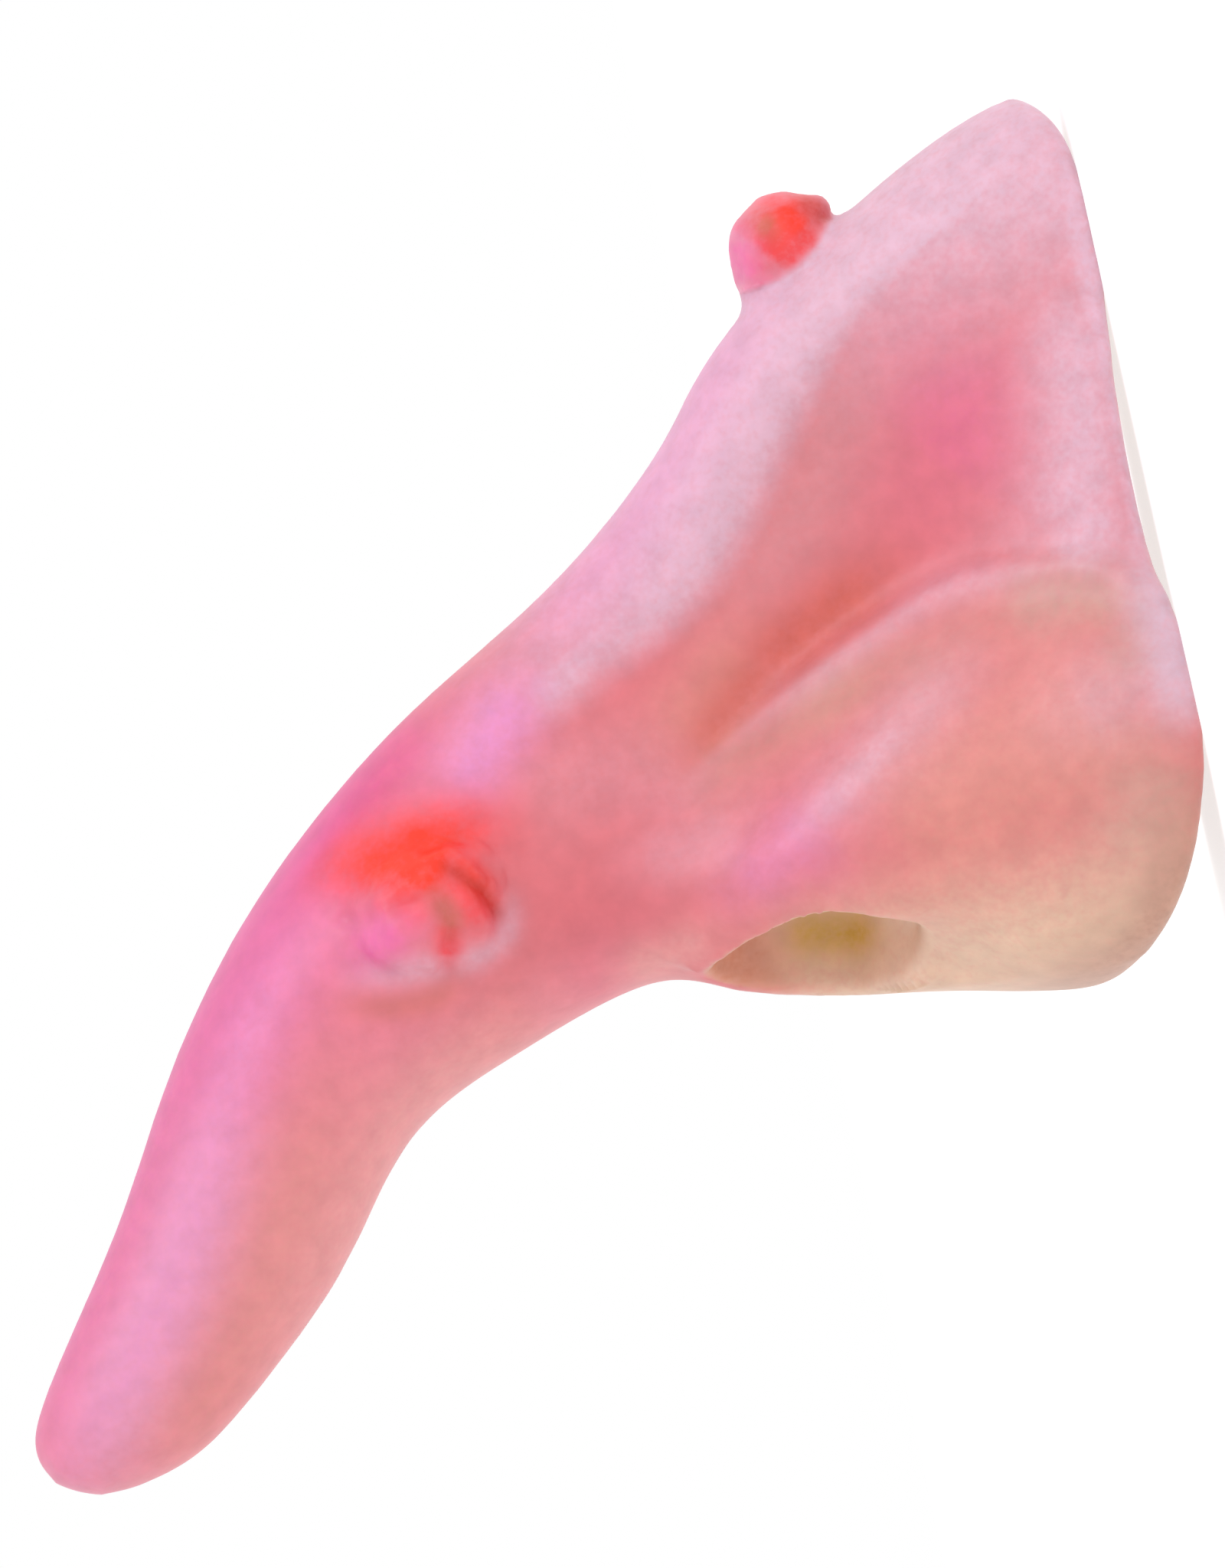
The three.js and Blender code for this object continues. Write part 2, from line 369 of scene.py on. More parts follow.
places, normals = skin_arrays(nose)
wall = BVHTree.FromObject(nose, bpy.context.evaluated_depsgraph_get())
inside = np.zeros(len(places))
for number, (place, normal) in enumerate(zip(places, normals)):
    way = Vector(normal.tolist())
    reached = wall.ray_cast((Vector(place.tolist()) + way * RAY_START) * MM, way, FAR_WALL * MM)[3]
    inside[number] = reached is not None and reached > NEAR_WALL * MM
facing = np.einsum("ij,ij->i", places[:, :2] - MOUTH_MIDDLE, normals[:, :2])
inside[(places[:, 2] < MOUTH_DEPTH) & (facing < FACING_IN)] = 1.0
inside = softened(inside, nose, SOFTENING)
outside = 1.0 - inside
print("inside share of the skin", round(float(inside.mean()), 2))

# %% [markdown]
# ## Lines in side view
# The folds and most of the paint follow lines that are easily drawn in side view, each through a few
# corners. What counts is how far each vertex is from such a line, and how far along it. Soft humps
# and ramps then turn those distances into heights or into paint.

# %% Measure from a line
PATH_STEPS = 8


def smooth_path(corners):
    """A path through the corners with rounded turns (a Catmull-Rom curve), as rows of points."""
    row = np.array([corners[0], *corners, corners[-1]], float)
    shares = np.linspace(0, 1, PATH_STEPS, endpoint=False)[:, None]
    made = []
    for before, start, end, after in zip(row, row[1:], row[2:], row[3:]):
        bend = 2 * before - 5 * start + 4 * end - after
        twist = 3 * (start - end) + after - before
        made.append(start + 0.5 * shares * (end - before + shares * (bend + shares * twist)))
    return np.vstack(made + [row[-1]])


def from_path(points, corners):
    """How far each point is from a path, positive on the path's left, and its share of the way along."""
    path = smooth_path(corners)
    gap = np.full(len(points), np.inf)
    along = np.zeros(len(points))
    count = len(path) - 1
    for number, (start, end) in enumerate(zip(path, path[1:])):
        run = end - start
        offset = points - start
        share = np.clip(offset @ run / (run @ run), 0, 1)
        length = np.linalg.norm(offset - share[:, None] * run, axis=1)
        side = np.where(run[0] * offset[:, 1] - run[1] * offset[:, 0] < 0, -1.0, 1.0)
        closer = length < np.abs(gap)
        gap[closer] = (side * length)[closer]
        along[closer] = ((number + share) / count)[closer]
    return gap, along


def hump(distance, width):
    """A soft hump: 1 in the middle, falling off over the width."""
    return np.exp(-0.5 * (distance / width) ** 2)


def ramp(values, low, high):
    """0 up to low, 1 from high on, and a smooth rise between them."""
    share = np.clip((values - low) / (high - low), 0, 1)
    return share * share * (3 - 2 * share)


def fall(values, low, high):
    """1 up to low, 0 from high on, and a smooth fall between them."""
    return 1 - ramp(values, low, high)


def faded(along, rise_from, rise_to, fall_from, fall_to):
    """Fades in and out again along a path."""
    return ramp(along, rise_from, rise_to) * fall(along, fall_from, fall_to)


print("lines have", PATH_STEPS, "steps from corner to corner")

# %% [markdown]
# ## Rolls and creases
# A sculptor draws a fold with a loop tool: a thin roll, a groove over it, a dent under it. Here each
# fold is a short path in side view, and each vertex near it moves along its own normal by an amount
# that depends on its distance from the path. The first is the lip that rolls over the top of the
# wing, from the rim towards the tip. The second is a soft crest where the flat side of the wing turns
# to the neck of the tip. The third is the edge where the round ridge breaks into the hollow side.

# %% Sculpt the folds
FLANK = (2.5, 5.0)
FOLD = (
    (2.2, -1.5), (5.6, 2.0), (7.6, 5.0), (8.4, 10.0), (8.2, 15.0),
    (6.4, 20.0), (4.2, 25.0), (1.8, 30.0), (-0.8, 34.5),
)
WING_CREST = ((1.0, 18.0), (-1.0, 20.8), (-2.7, 23.0), (-4.6, 26.2), (-7.0, 29.6), (-9.4, 33.2))
RIDGE_EDGE = (
    (30.0, 13.0), (27.0, 17.5), (22.0, 22.3), (14.8, 28.0),
    (10.7, 32.7), (7.7, 39.0), (4.9, 46.5), (1.0, 53.0),
)
# Each roll: how far to the path's left, how wide and how high. Then where along it fades in and out.
LIP_ROLLS = ((0.0, 0.7, 0.45),)
LIP_FADE = (0.02, 0.15, 0.72, 0.98)
GROOVE_ROLLS = ((-2.0, 1.2, -0.35),)
GROOVE_FADE = (0.35, 0.6, 0.75, 0.98)
DENT_ROLLS = ((2.1, 1.1, -0.5),)
DENT_FADE = (0.05, 0.25, 0.4, 0.9)
CREST_ROLLS = ((0.0, 1.5, 0.5), (-2.8, 1.3, -0.3))
CREST_FADE = (0.0, 0.35, 0.75, 1.0)
EDGE_ROLLS = ((-1.3, 1.0, 0.2), (1.8, 1.6, -0.35))
EDGE_FADE = (0.0, 0.25, 0.6, 0.95)


def rolled(corners, rolls, fade):
    """How far the rolls along a path lift each vertex of the flanks."""
    gap, along = from_path(side_view, corners)
    lift = sum(rise * hump(gap - left, width) for left, width, rise in rolls)
    return flank * lift * faded(along, *fade)


side_view = places[:, 1:]
flank = outside * ramp(np.abs(places[:, 0]), *FLANK)
folds = rolled(FOLD, LIP_ROLLS, LIP_FADE)
folds += rolled(FOLD, GROOVE_ROLLS, GROOVE_FADE)
folds += rolled(FOLD, DENT_ROLLS, DENT_FADE)
folds += rolled(WING_CREST, CREST_ROLLS, CREST_FADE)
folds += rolled(RIDGE_EDGE, EDGE_ROLLS, EDGE_FADE)
push(nose, folds)
print("folds from", round(float(folds.min()), 2), "to", round(float(folds.max()), 2), "mm")

# %% [markdown]
# ## The nostrils
# A nostril is a hollow pressed into the wing, and its back runs out into the wing almost without an
# edge. In clay this is done with a fingertip. Here the floor at the back is filled up along its
# normals and then rubbed smooth, on both sides of the nose.

# %% Fill the back of the nostrils
NOSTRIL_MIDDLE = (9.1, -14.5, 27.3)
NOSTRIL_AXES = (5.9, 7.2, 9.6)
NOSTRIL_TURN = Matrix.Rotation(math.radians(25), 3, "Z") @ Matrix.Rotation(math.radians(-31), 3, "Y")
NOSTRIL_EDGE = (0.95, 1.1)
NOSTRIL_FACING = (0.1, 0.6)
FILL_HEIGHT = 1.5
FILL_BACK = (21.5, 26.5)
BACK_MIDDLE = Vector((13.2, -14.5, 20.5)) * MM
BACK_REACH = 5.5 * MM
BACK_RINGS = ((1.0, 3), (0.9, 6), (0.8, 14), (0.65, 60))


def nostril_pocket(points, facing):
    """From 0 to 1, how surely each vertex lies in a nostril's hollow, with its face towards the air."""
    sided = np.where(points[:, :1] < 0, (-1, 1, 1), 1)
    from_middle = points * sided - NOSTRIL_MIDDLE
    reach = np.linalg.norm(from_middle @ np.array(NOSTRIL_TURN) / NOSTRIL_AXES, axis=1)
    inwards = -from_middle / np.linalg.norm(from_middle, axis=1, keepdims=True)
    turned_in = np.einsum("ij,ij->i", inwards, facing * sided)
    return fall(reach, *NOSTRIL_EDGE) * ramp(turned_in, *NOSTRIL_FACING)


places, normals = skin_arrays(nose)
filled = FILL_HEIGHT * nostril_pocket(places, normals) * fall(places[:, 2], *FILL_BACK)
push(nose, filled)
with opened(nose) as clay:
    for side in (1, -1):
        rub(clay, BACK_MIDDLE * Vector((side, 1, 1)), BACK_REACH, BACK_RINGS)
print("nostrils filled by up to", round(float(filled.max()), 2), "mm")

# %% [markdown]
# The upper edge of a nostril hangs low over it. It is dragged down, and all that is near it goes
# along, so the wall keeps its thickness. A few strokes along the edge then even it out.

# %% Drag down the upper edge of the nostrils
NOSTRIL_BROW = ((-13.8, 36.1), (-11.4, 33.1), (-10.7, 30.1), (-10.7, 26.3), (-11.4, 22.5))
BROW_DRAG = 1.45
BROW_WIDTH = 1.8
BROW_SIDE = (6.0, 9.0)
BROW_NEAR = 0.6
BROW_PASSES = 30

places = skin_arrays(nose)[0]
brow_gap = from_path(places[:, 1:], NOSTRIL_BROW)[0]
on_brow = hump(brow_gap, BROW_WIDTH) * ramp(np.abs(places[:, 0]), *BROW_SIDE)
places[:, 1] -= BROW_DRAG * on_brow
set_places(nose, places)
with opened(nose) as clay:
    edge_verts = [vert for vert, near in zip(clay.verts, on_brow > BROW_NEAR) if near]
    smooth(clay, edge_verts, BROW_PASSES)
    print(len(edge_verts), "vertices evened out along the nostrils")

# %% [markdown]
# ## The warts
# A wart in such a mould is a lump pressed in with a rough tool, so it is knobbly. Soft noise gives
# the knobs. The wart on the side is made of three lobes with clefts between and behind them, and the
# one on the bridge swells at both ends.

# %% Roughen the warts
KNOB = 1.9
KNOB_HEIGHT = 0.35
WART_SWELL = 0.1
WART_EDGE = (1.0, 1.25)
LEFT_SIDE = (4.0, 6.0)
RIDGE_HALF = (2.5, 4.0)
# Each cleft: its path in side view, how wide and how deep.
CLEFTS = (
    (((-3.0, 51.2), (-4.4, 50.0), (-5.6, 49.2), (-6.8, 48.8)), 0.35, 0.35),
    (((-4.8, 52.6), (-6.4, 51.8), (-7.6, 52.0), (-9.4, 52.8)), 0.45, 0.5),
    (((-4.8, 52.6), (-5.0, 54.6), (-5.4, 57.0), (-5.2, 58.6)), 0.5, 0.35),
)

places = skin_arrays(nose)[0]
side_view = places[:, 1:]
left_side = outside * ramp(places[:, 0], *LEFT_SIDE)
on_ridge = outside * fall(np.abs(places[:, 0]), *RIDGE_HALF)
# Each lobe: which part of the nose it is on, where it is in side view, how wide and how high.
LOBES = (
    (left_side, (-3.2, 53.0), 1.5, 0.3),
    (left_side, (-7.3, 55.8), 1.5, 0.5),
    (left_side, (-6.6, 50.3), 1.1, 0.6),
    (on_ridge, (31.0, 23.0), 1.3, 0.8),
    (on_ridge, (35.6, 17.8), 1.0, 0.7),
)
warted = fall(wart_reach(places), *WART_EDGE) * outside
knobs = np.zeros(len(places))
for number in np.nonzero(warted > 0)[0]:
    knobs[number] = noise.noise(Vector(places[number].tolist()) / KNOB)
cleft = np.zeros(len(places))
for path, width, depth in CLEFTS:
    cleft = np.maximum(cleft, depth * hump(from_path(side_view, path)[0], width))
raised = warted * (WART_SWELL + KNOB_HEIGHT * knobs) - left_side * cleft
for part, spot, width, rise in LOBES:
    raised += part * rise * hump(np.linalg.norm(side_view - spot, axis=1), width)
push(nose, raised)
print("warts raised from", round(float(raised.min()), 2), "to", round(float(raised.max()), 2), "mm")

# %% [markdown]
# ## Where the paint went
# The airbrush laid each colour down in soft strokes, and several can lie over each other. A map for
# each colour is kept on the vertices, as a number from bare (0) to covered (1). Most of it is strokes:
# each has its colour, the part of the nose it is on, its cover, its width in millimetres and its path
# in side view. The warts have strokes of their own. A stroke carries less paint at its ends, as a
# moving airbrush does, and one with a cover above 1 is full over more of its width. Not every stroke
# is paint: some are painted highlights, along the ridge, the crest of the wing, the side wart and the
# tip, and some are painted shade, in the hollow under the ridge, along its outer edge, under the lip,
# at the low corner of the wing, along the top of the tip, in the warts' clefts and under the side wart.

# %% List the strokes of the airbrush
BRIDGE_WART_EDGE = (1.0, 1.2)
BOTH_SIDES = np.ones(len(places))
bridge_wart = outside * fall(wart_reach(places, ("bridge",)), *BRIDGE_WART_EDGE)
STROKES = (
    # Painted shade in the hollow under the edge of the ridge.
    ("rosy_shade", BOTH_SIDES, 0.7, 3.0, ((25.0, 16.0), (20.0, 19.5), (15.0, 23.5), (9.5, 29.0))),
    ("hot_pink", BOTH_SIDES, 0.64, 3.7, ((23.5, 12.0), (19.0, 11.2), (16.4, 13.4))),
    ("hot_pink", BOTH_SIDES, 0.7, 2.4, ((-7.0, 25.0), (-8.5, 28.0))),
    ("hot_pink", BOTH_SIDES, 0.9, 3.0, ((7.5, 51.0), (3.0, 56.5), (-2.5, 61.0))),
    ("fuchsia", BOTH_SIDES, 0.75, 2.6, ((5.0, 54.5), (0.5, 59.5), (-6.0, 64.5), (-13.0, 69.5))),
    ("neck_red", BOTH_SIDES, 0.5, 2.8, ((-5.5, 38.0), (-8.0, 41.5), (-9.5, 45.5))),
    ("dust_and_highlight", BOTH_SIDES, 0.82, 2.8, ((27.0, 2.5), (20.0, 2.8), (14.0, 4.0), (10.5, 7.0))),
    ("dust_and_highlight", BOTH_SIDES, 0.8, 2.2, ((12.5, 3.8), (9.8, 4.6), (8.4, 7.0))),
    ("dust_and_highlight", BOTH_SIDES, 0.4, 2.2, ((1.2, 2.8), (-0.8, 4.8), (-1.6, 8.0))),
    # A painted highlight along the edge of the ridge.
    ("dust_and_highlight", BOTH_SIDES, 0.8, 1.4, ((11.0, 36.2), (8.4, 40.0), (6.4, 43.6))),
    ("dust_and_highlight", BOTH_SIDES, 0.2, 2.6, ((-2.5, 33.0), (0.5, 38.0), (1.0, 46.0))),
    ("dust_and_highlight", BOTH_SIDES, 0.25, 1.8, ((-4.4, 31.5), (-5.2, 35.0), (-5.0, 38.5))),
    # Painted highlights along the crest of the wing.
    ("dust_and_highlight", BOTH_SIDES, 0.4, 1.7, ((3.0, 15.0), (-1.0, 20.8), (-4.6, 26.2))),
    ("dust_and_highlight", BOTH_SIDES, 0.55, 1.1, ((0.4, 18.8), (-2.2, 22.4), (-5.2, 27.0))),
    # A painted highlight on the lower lip of the side wart.
    ("dust_and_highlight", left_side, 0.55, 0.8, ((-9.4, 52.5), (-9.4, 55.0), (-8.9, 58.8))),
    # A painted highlight along the tip.
    ("dust_and_highlight", BOTH_SIDES, 0.5, 2.2, ((-18.0, 71.0), (-26.0, 75.5), (-32.0, 80.0), (-37.5, 83.5))),
    # A painted highlight beside the cleft of the side wart.
    ("dust_and_highlight", left_side, 0.55, 0.7, ((-6.4, 47.8), (-8.2, 48.4), (-9.3, 50.2), (-9.7, 52.6))),
    # A painted highlight at the lower end of the wing's crest.
    ("lilac_highlight_and_shade", BOTH_SIDES, 0.45, 1.6, ((-4.6, 26.4), (-7.0, 29.6), (-8.6, 32.3))),
    # Painted shade along the outer edge of the ridge.
    ("lilac_highlight_and_shade", BOTH_SIDES, 0.45, 2.4, ((30.0, 24.0), (24.0, 29.5), (16.5, 35.5), (11.0, 42.0))),
    # A painted highlight down the ridge, above the side wart.
    ("lilac_highlight_and_shade", BOTH_SIDES, 0.9, 1.8, ((7.5, 44.0), (4.5, 47.0), (1.6, 49.6))),
    # A painted highlight along the tip.
    ("lilac_highlight_and_shade", BOTH_SIDES, 0.65, 2.3, (
        (-5.0, 62.0), (-9.0, 65.5), (-13.5, 68.5), (-20.0, 72.0), (-27.0, 76.0), (-34.0, 81.5),
        (-37.5, 84.5),
    )),
    ("wart_pink", left_side, 1.0, 1.3, ((-6.2, 55.4), (-6.9, 56.8), (-7.8, 58.2))),
    ("salmon", BOTH_SIDES, 1.0, 5.5, ((-1.5, 4.0), (-4.5, 12.0), (-7.0, 22.0))),
    ("salmon", BOTH_SIDES, 0.7, 1.6, ((3.4, 21.0), (1.2, 25.5))),
    ("salmon", BOTH_SIDES, 0.7, 2.0, ((7.6, 29.0), (4.8, 31.5), (2.4, 35.0))),
    ("salmon", BOTH_SIDES, 0.7, 3.2, ((-17.0, 63.0), (-26.0, 68.5), (-34.0, 74.5), (-38.0, 80.0))),
    ("under_pink", BOTH_SIDES, 0.8, 2.6, ((-15.0, 47.0), (-18.5, 56.0), (-24.0, 61.5), (-33.0, 69.0))),
    ("under_pink", BOTH_SIDES, 0.8, 1.3, ((-12.6, 41.0), (-12.2, 38.0), (-11.4, 35.0))),
    ("tube_pink", BOTH_SIDES, 0.8, 2.2, ((-11.5, 40.0), (-13.0, 44.0), (-15.0, 48.0))),
    ("wash", BOTH_SIDES, 0.8, 1.7, ((9.6, 18.8), (8.5, 21.8), (6.9, 25.0), (5.2, 28.0))),
    ("wash", BOTH_SIDES, 0.7, 1.4, ((6.0, 26.6), (3.2, 30.2), (0.8, 33.0))),
    # Airbrushed pink along the top of the tip, with painted shade where it turns away from the light.
    ("magenta_and_edge_shade", BOTH_SIDES, 0.9, 2.2, (
        (6.7, 56.5), (1.6, 62.0), (-6.5, 69.0), (-14.0, 74.2), (-21.5, 79.0), (-29.4, 84.4),
        (-34.0, 87.0),
    )),
    ("chalk", BOTH_SIDES, 0.5, 1.5, ((7.0, 0.8), (3.5, 0.8), (0.5, 0.8), (-2.6, 0.8))),
    # Painted shade in the dent under the lip, by the rim and at the low corner of the wing.
    ("tan_shade", BOTH_SIDES, 0.75, 1.7, ((4.6, 3.0), (6.0, 7.0), (5.8, 11.0))),
    ("tan_shade", BOTH_SIDES, 0.45, 1.6, ((4.8, 3.4), (2.2, 3.8), (0.0, 4.4))),
    ("tan_shade", BOTH_SIDES, 0.3, 1.6, ((6.0, 10.5), (5.0, 15.0), (3.0, 19.5))),
    ("tan_shade", BOTH_SIDES, 0.75, 2.4, ((-6.0, 3.6), (-9.0, 4.6), (-12.0, 7.0))),
    # Painted shade at the low back corner of the wing, and under the lip.
    ("fawn_shade", BOTH_SIDES, 0.8, 1.8, ((-9.0, 1.5), (-15.0, 4.6), (-18.6, 7.6), (-20.4, 14.0))),
    ("fawn_shade", BOTH_SIDES, 0.3, 1.8, ((-13.0, 5.0), (-16.0, 8.0), (-18.0, 11.0))),
    ("fawn_shade", BOTH_SIDES, 0.4, 1.3, ((4.6, 19.0), (3.0, 23.5), (1.2, 27.5), (0.0, 31.0), (-1.4, 33.0))),
    # Painted shadow under the side wart.
    ("umber_spot_and_shade", left_side, 0.45, 0.8, ((-11.0, 52.4), (-11.6, 54.5), (-11.5, 57.0), (-10.9, 59.5))),
    ("red_mist", left_side, 0.9, 1.7, ((-1.0, 47.6), (-0.6, 51.5), (-0.8, 55.0), (-1.6, 59.4))),
    ("red_mist", left_side, 1.0, 0.9, ((-4.0, 51.2), (-5.6, 50.3), (-7.4, 49.9))),
    ("red_mist", left_side, 0.6, 0.8, ((-4.6, 55.8), (-5.3, 54.4), (-5.8, 53.2))),
    ("red_mist", left_side, 1.1, 0.7, ((-6.8, 51.9), (-8.0, 52.3), (-9.0, 52.5))),
    ("red_mist", bridge_wart, 1.1, 2.6, ((35.0, 18.6), (33.8, 20.4), (32.8, 21.6))),
    ("wart_pink", bridge_wart, 0.8, 1.1, ((34.4, 23.2), (33.0, 23.4), (31.6, 22.8))),
    ("red", left_side, 1.0, 1.3, ((-1.3, 49.8), (-1.5, 52.5), (-1.9, 55.0), (-2.0, 57.6))),
    ("red", left_side, 1.6, 1.5, ((-1.4, 51.6), (-2.1, 53.0), (-3.2, 54.4))),
    ("red", left_side, 0.7, 0.8, ((-2.6, 50.8), (-4.0, 49.8), (-5.4, 49.1))),
    ("red", bridge_wart, 0.9, 1.1, ((36.2, 19.8), (35.2, 19.4), (34.0, 18.8))),
    ("red", bridge_wart, 0.5, 0.9, ((34.2, 20.0), (32.6, 21.4))),
    # Dark red paint pooled in the side wart's cleft, with painted shade; painted shade on the bridge
    # wart's edge where it meets the skin.
    ("dark_red_and_shade", left_side, 0.85, 0.4, CLEFTS[0][0]),
    ("dark_red_and_shade", bridge_wart, 0.8, 0.6, ((36.3, 18.6), (35.4, 17.6), (34.2, 17.2))),
    # Painted shade in the cleft between the side wart's lobes, and a brown spot on the bridge wart.
    ("umber_spot_and_shade", left_side, 0.6, 0.6, ((-5.0, 52.4), (-6.4, 51.8), (-7.2, 51.9))),
    ("umber_spot_and_shade", bridge_wart, 0.7, 0.6, ((35.3, 21.6), (34.6, 20.9))),
)
print(len(STROKES), "strokes in", len({stroke[0] for stroke in STROKES}), "colours")

# %% [markdown]
# Some paint isn't a stroke. A pale ground lies over the whole ridge and root, on the lip and along the
# rim. On the ridge and root it is paler paint with a painted highlight, on the lip it is a painted
# highlight, and along the rim it is dust where the paint rubs thin. The tip has a pinker ground than
# the base. No paint reached the inside, and little the underside, so the yellowish latex shows there.
# In the nostrils an olive glow is painted for the light that comes through the thin latex, painted
# shade in brown darkens the front of each, and painted light makes the back a touch paler.

# %% Lay the grounds
# How wide the painted highlight on the lip is.
LIP_HIGHLIGHT_WIDTH = 0.9
# The line along which an olive glow is painted in each nostril.
OLIVE_GLOW_PATH = ((-12.5, 28.4), (-12.9, 26.8), (-13.2, 25.4))
OLIVE_GLOW_WIDTH = 1.2
# How much each ground covers where it is full.
COVERS = {
    "ridge": 0.95, "root": 0.85, "lip": 0.45, "rim": 0.6, "trim": 0.95,
    "olive_glow": 0.95, "brown_shade": 0.8, "cream_light": 0.2,
}
# Between which two distances each ground comes in or goes out, in millimetres.
TIP_BEGINS = (46.0, 60.0)
RIDGE_BEGINS = (-2.4, 1.0)
RIDGE_ENDS = (30.0, 54.0)
ROOT_BEGINS = (18.0, 35.0)
RIM_ENDS = (0.5, 6.0)
RIM_ENDS_BELOW = (2.0, 5.5)
TRIM_ENDS = (0.8, 3.0)
TRIM_BEGINS = (4.0, 10.0)
UNDERSIDE_BEGINS = (7.5, 17.0)
UNDERSIDE_ENDS = (26.0, 36.0)
# Where the painted shade in brown and the painted light in cream begin and end in the nostrils.
BROWN_SHADE_BEGINS = (28.0, 33.0)
CREAM_LIGHT_BEGINS = (18.5, 22.0)
CREAM_LIGHT_ENDS = (22.0, 26.5)

places, normals = skin_arrays(nose)
side_view = places[:, 1:]
upward = places[:, 1]
forward = places[:, 2]
ridge_side = -from_path(side_view, RIDGE_EDGE)[0]
fold_gap, fold_along = from_path(side_view, FOLD)
# Where the painted highlight on the lip lies.
lip_highlight = outside * hump(fold_gap, LIP_HIGHLIGHT_WIDTH) * faded(fold_along, *LIP_FADE)
pocket = nostril_pocket(places, normals)
grounds = {
    "tube_pink": ramp(forward, *TIP_BEGINS),
    # Paler paint with a painted highlight on the ridge and root, a painted highlight on the lip, and
    # dust at the rim.
    "dust_and_highlight": np.max([
        COVERS["ridge"] * ramp(ridge_side, *RIDGE_BEGINS) * fall(forward, *RIDGE_ENDS),
        COVERS["root"] * ramp(upward, *ROOT_BEGINS),
        COVERS["lip"] * lip_highlight,
        COVERS["rim"] * fall(forward, *RIM_ENDS) * fall(-upward, *RIM_ENDS_BELOW),
        COVERS["trim"] * fall(forward, *TRIM_ENDS) * ramp(upward, *TRIM_BEGINS),
    ], axis=0),
    "bare": np.max([
        inside,
        ramp(-upward, *UNDERSIDE_BEGINS) * fall(forward, *UNDERSIDE_ENDS),
        pocket,
    ], axis=0),
    # In the nostrils: a painted olive glow, painted shade in brown and painted light in cream.
    "olive_glow": COVERS["olive_glow"] * pocket * hump(from_path(side_view, OLIVE_GLOW_PATH)[0], OLIVE_GLOW_WIDTH),
    "brown_shade": COVERS["brown_shade"] * pocket * ramp(forward, *BROWN_SHADE_BEGINS),
    "cream_light": COVERS["cream_light"] * pocket * faded(forward, *CREAM_LIGHT_BEGINS, *CREAM_LIGHT_ENDS),
}
print(len(grounds), "grounds")

# %% [markdown]
# Each map is the strongest of its colour's strokes and ground at each vertex. The wash is held back
# at the lip, as if by the edge of a paper mask, so that the lip stays pale.

# %% Map the paint
TAPER = 0.3
STROKE_FADE = (-TAPER, TAPER, 1 - TAPER, 1 + TAPER)
WASH_EDGE = (-0.3, 0.6)

maps = {}
for name, part, cover, width, path in STROKES:
    gap, along = from_path(side_view, path)
    laid = part * cover * faded(along, *STROKE_FADE) * hump(gap, width)
    maps[name] = np.maximum(maps.get(name, 0.0), laid)
maps["wash"] *= ramp(-fold_gap, *WASH_EDGE)
for name, laid in grounds.items():
    maps[name] = np.maximum(maps.get(name, 0.0), laid)
for name, laid in maps.items():
    layer = nose.data.attributes.new(name, "FLOAT", "POINT")
    layer.data.foreach_set("value", np.clip(laid, 0, 1).astype(np.float32))
    print(name, "covers", round(float(laid.mean()), 2))

# %% [markdown]
# ## Airbrushed latex
# Cured latex is a soft rubber, with a dull sheen and a little light going into it. The paint is
# thinned latex too, so it shares that sheen and only changes the colour. Each paint is mixed over the
# last one by its map, and fine noise breaks the maps up into the speckle that an airbrush leaves. A
# broader noise lets the colour drift a little, as hand-mixed paint does. The table gives the paints
# in the order in which they lie on each other.

# %% List the paints
GROUND = "d66d74"
COATS = (
    ("tube_pink", "e0788c"),
    # Painted shade for the hollow under the ridge.
    ("rosy_shade", "ce8489"),
    ("hot_pink", "d86288"),
    ("fuchsia", "dc4c86"),
    ("neck_red", "cf636c"),
    ("salmon", "d6867c"),
    ("under_pink", "e09694"),
    # Pale dust, and painted highlights.
    ("dust_and_highlight", "d9aebf"),
    # Painted highlights, and painted shade at the edge of the ridge.
    ("lilac_highlight_and_shade", "e08abb"),
    ("wash", "ce5c4c"),
    # Airbrushed pink with painted shade along the top of the tip.
    ("magenta_and_edge_shade", "d8649a"),
    # Painted shade.
    ("tan_shade", "c9978a"),
    ("chalk", "cdbccd"),
    ("bare", "deb9a0"),
    # Painted shade.
    ("fawn_shade", "b98a78"),
    # Painted light at the back of the nostrils.
    ("cream_light", "fbe3d2"),
    # A painted glow in the nostrils.
    ("olive_glow", "c69a38"),
    # Painted shade at the front of the nostrils.
    ("brown_shade", "c8775a"),
    ("red_mist", "e84e58"),
    ("wart_pink", "e46aa0"),
    ("red", "f02c06"),
    # Pooled dark red with painted shade in the clefts.
    ("dark_red_and_shade", "c82a1c"),
    # A brown spot, with painted shade and shadow at the side wart.
    ("umber_spot_and_shade", "c4674c"),
)

print(len(COATS), "paints over the ground")

# %% [markdown]
# The sizes of the speckle, the mottling and the pores are in millimetres. The pores of the plaster are
# finer than the picture can show, so they are drawn about as coarse as the speckle.

# %% Mix the paint
SPECKLE = 0.5
MOTTLE = 1.8
PORE = 0.55
PAINT_DETAIL = 3.0
PORE_DETAIL = 2.0
PORE_STRENGTH = 0.25
PORE_DEPTH = 0.05 * MM
NOISE_SPAN = {"From Min": 0.3, "From Max": 0.7}
SPECKLE_COVER = {"To Min": 0.85, "To Max": 1.15}
DRIFT_SHADE = {"To Min": 0.93, "To Max": 1.05}
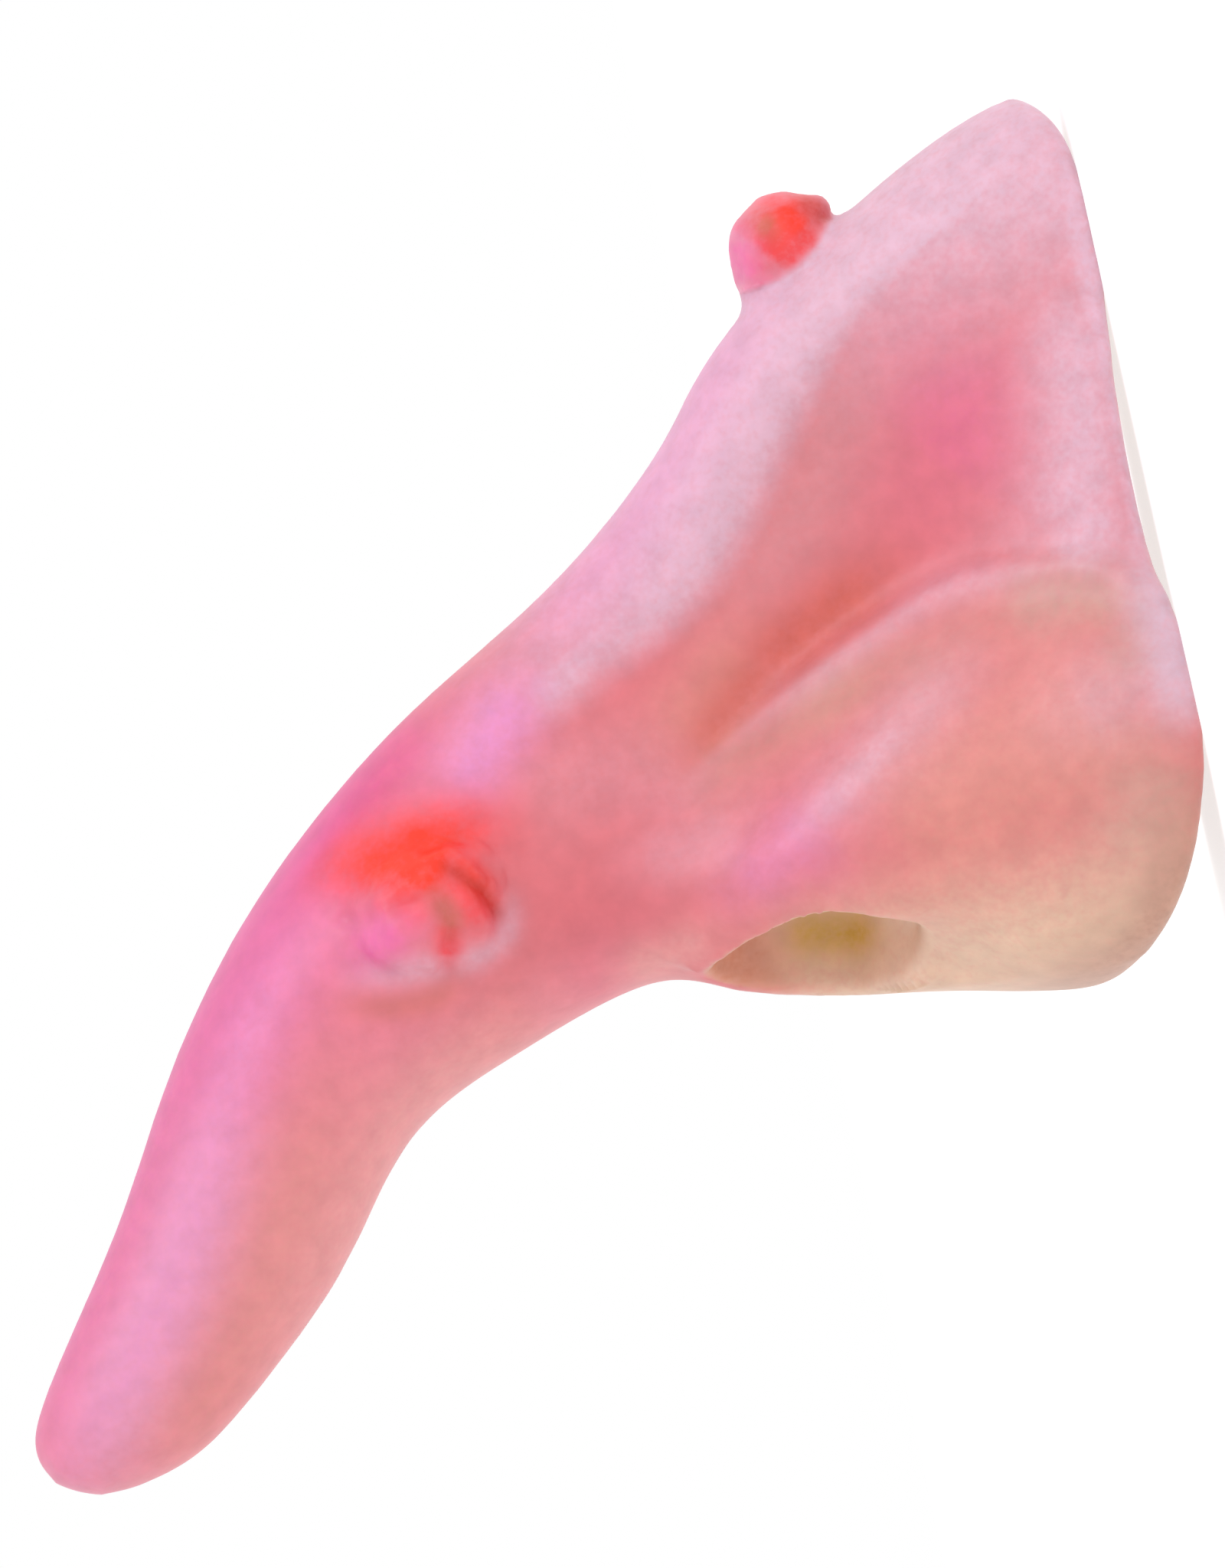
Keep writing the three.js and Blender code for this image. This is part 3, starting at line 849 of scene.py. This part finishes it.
# A colour mix is linked by number, because its names stand for sockets of several kinds.
MIX_SHARE, MIX_UNDER, MIX_OVER = 0, 6, 7
MIXED = 2
LATEX = {
    "Roughness": 0.45,
    "IOR": 1.5,
    "Subsurface Weight": 0.3,
    "Subsurface Radius": (1.0, 0.5, 0.4),
    "Subsurface Scale": 2.0 * MM,
}

# Slip-cast latex: matt to half-glossy, a little see-through, with the fine pores of the plaster.
latex = bpy.data.materials.new("airbrushed_latex")
latex.use_nodes = True
tree = latex.node_tree
rubber = tree.nodes["Principled BSDF"]
for name, value in LATEX.items():
    rubber.inputs[name].default_value = value

at = add_node(tree, "TexCoord").outputs["Object"]
speckle = add_node(tree, "TexNoise", {"Vector": at, "Scale": 1 / (SPECKLE * MM), "Detail": PAINT_DETAIL})
strength = add_node(tree, "MapRange", {"Value": speckle.outputs[0], **NOISE_SPAN, **SPECKLE_COVER})
colour = linear(GROUND)
for name, code in COATS:
    cover = add_node(tree, "Attribute", attribute_name=name).outputs["Fac"]
    share = add_node(tree, "Math", {0: cover, 1: strength.outputs[0]}, operation="MULTIPLY").outputs[0]
    layers = {MIX_SHARE: share, MIX_UNDER: colour, MIX_OVER: linear(code)}
    colour = add_node(tree, "Mix", layers, data_type="RGBA").outputs[MIXED]
drift = add_node(tree, "TexNoise", {"Vector": at, "Scale": 1 / (MOTTLE * MM), "Detail": PAINT_DETAIL})
shade = add_node(tree, "MapRange", {"Value": drift.outputs[0], **NOISE_SPAN, **DRIFT_SHADE})
mottled = add_node(tree, "HueSaturation", {"Value": shade.outputs[0], "Color": colour})
tree.links.new(mottled.outputs[0], rubber.inputs["Base Color"])

pores = add_node(tree, "TexNoise", {"Vector": at, "Scale": 1 / (PORE * MM), "Detail": PORE_DETAIL})
grain = {"Height": pores.outputs[0], "Strength": PORE_STRENGTH, "Distance": PORE_DEPTH}
relief = add_node(tree, "Bump", grain)
tree.links.new(relief.outputs[0], rubber.inputs["Normal"])
nose.data.materials.append(latex)
print("latex of", len(tree.nodes), "nodes")

# %% [markdown]
# ## Setting it on the frame
# The painted nose takes the place of the plain casting, which stays behind it for the physics.

# %% Set the finished nose on its frame
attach(nose, "root")
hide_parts("nose_shell")
